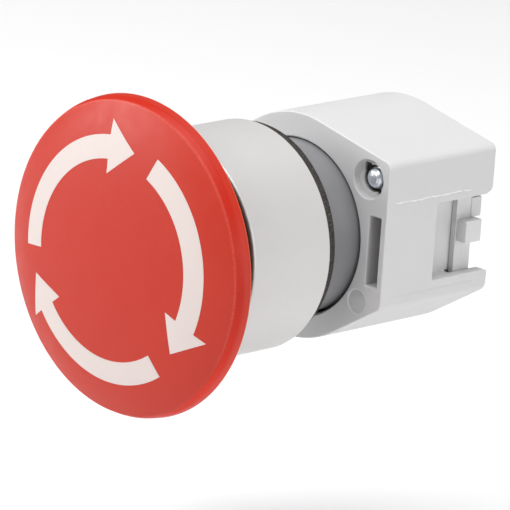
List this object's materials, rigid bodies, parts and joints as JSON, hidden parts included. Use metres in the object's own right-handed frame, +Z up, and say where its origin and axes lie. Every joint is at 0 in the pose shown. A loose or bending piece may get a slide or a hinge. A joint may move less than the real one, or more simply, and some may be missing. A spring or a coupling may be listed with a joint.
{
  "type": "emergency stop button",
  "caption": "Panel-mounted emergency stop actuator: red mushroom head with clockwise arrows, silver bezel collar and rear clamping flange for contact blocks.",
  "frame": {"origin": "on the actuator axis, in the plane where the gasket meets the front of the panel", "axes": "+Y along the actuator axis from the mushroom head to the rear, +Z up (the anti-rotation key side), +X to the right seen from the front"},
  "size_m": [0.04, 0.0519, 0.04],
  "materials": {
    "red_plastic": "satin moulded, fine grain",
    "white_plastic": "matt off-white inlay",
    "black_plastic": "matt black",
    "spring_steel": "drawn spring wire",
    "natural_plastic": "unpainted acetal",
    "steel": "ground steel",
    "grey_plastic": "dark grey, smooth",
    "silver_metal": "satin silver finish",
    "rubber": "matt elastomer",
    "light_grey_plastic": "light grey moulding",
    "zinc_steel": "bright zinc plating"
  },
  "bodies": {
    "housing": {"actuator_body": "grey_plastic", "front_ring": "grey_plastic", "collar": "silver_metal", "stem_seal": "rubber", "panel_gasket": "rubber", "spring_retainer": "grey_plastic", "body_circlip": "spring_steel", "return_spring": "spring_steel", "flange_housing": "light_grey_plastic", "clamp_nuts": "zinc_steel", "contact_carrier": "light_grey_plastic", "latch_springs_right": "spring_steel", "latch_springs_left": "spring_steel"},
    "plunger": {"plunger": "natural_plastic", "twist_return_spring": "spring_steel", "thrust_plate": "natural_plastic", "shaft_circlip": "spring_steel", "pawl_spring": "spring_steel"},
    "head": {"mushroom_cap": "red_plastic", "arrow_inlays": "white_plastic", "twist_sleeve": "black_plastic", "sleeve_circlip": "spring_steel", "release_cam": "natural_plastic"},
    "pawl_right": {"latch_pawl_right": "steel"},
    "pawl_left": {"latch_pawl_left": "steel"},
    "lock_ring": {"lock_ring": "grey_plastic"},
    "screw_upper": {"clamp_screw_upper": "zinc_steel"},
    "screw_lower": {"clamp_screw_lower": "zinc_steel"},
    "latch_right": {"release_latch_right": "light_grey_plastic"},
    "latch_left": {"release_latch_left": "light_grey_plastic"}
  },
  "joints": [
    {"name": "button_push", "type": "slide", "parent": "housing", "child": "plunger", "axis": [0, 1, 0], "range_m": [0, 0.004], "deforming": ["return_spring"]},
    {"name": "twist_release", "type": "hinge", "parent": "plunger", "child": "head", "pos_m": [0, 0, 0], "axis": [0, 1, 0], "range_deg": [0, 40], "deforming": ["twist_return_spring"]},
    {"name": "pawl_right_slide", "type": "slide", "parent": "plunger", "child": "pawl_right", "axis": [1, 0, 0], "range_m": [0, 0.0008], "deforming": ["pawl_spring"]},
    {"name": "pawl_left_slide", "type": "slide", "parent": "plunger", "child": "pawl_left", "axis": [-1, 0, 0], "range_m": [0, 0.0008]},
    {"name": "lock_ring_turn", "type": "hinge", "parent": "housing", "child": "lock_ring", "pos_m": [0, 0.0123, 0], "axis": [0, 1, 0], "range_deg": [0, 30]},
    {"name": "clamp_screw_upper_feed", "type": "slide", "parent": "housing", "child": "screw_upper", "axis": [0, -1, 0], "range_m": [0, 0.0025]},
    {"name": "clamp_screw_lower_feed", "type": "slide", "parent": "housing", "child": "screw_lower", "axis": [0, -1, 0], "range_m": [0, 0.0025]},
    {"name": "latch_right_slide", "type": "slide", "parent": "housing", "child": "latch_right", "axis": [0, -1, 0], "range_m": [0, 0.0008], "deforming": ["latch_springs_right"]},
    {"name": "latch_left_slide", "type": "slide", "parent": "housing", "child": "latch_left", "axis": [0, -1, 0], "range_m": [0, 0.0008], "deforming": ["latch_springs_left"]}
  ],
  "couplings": [
    {"joint": "pawl_right_slide", "follows": "button_push", "ratio": 0.2},
    {"joint": "pawl_left_slide", "follows": "button_push", "ratio": 0.2}
  ]
}
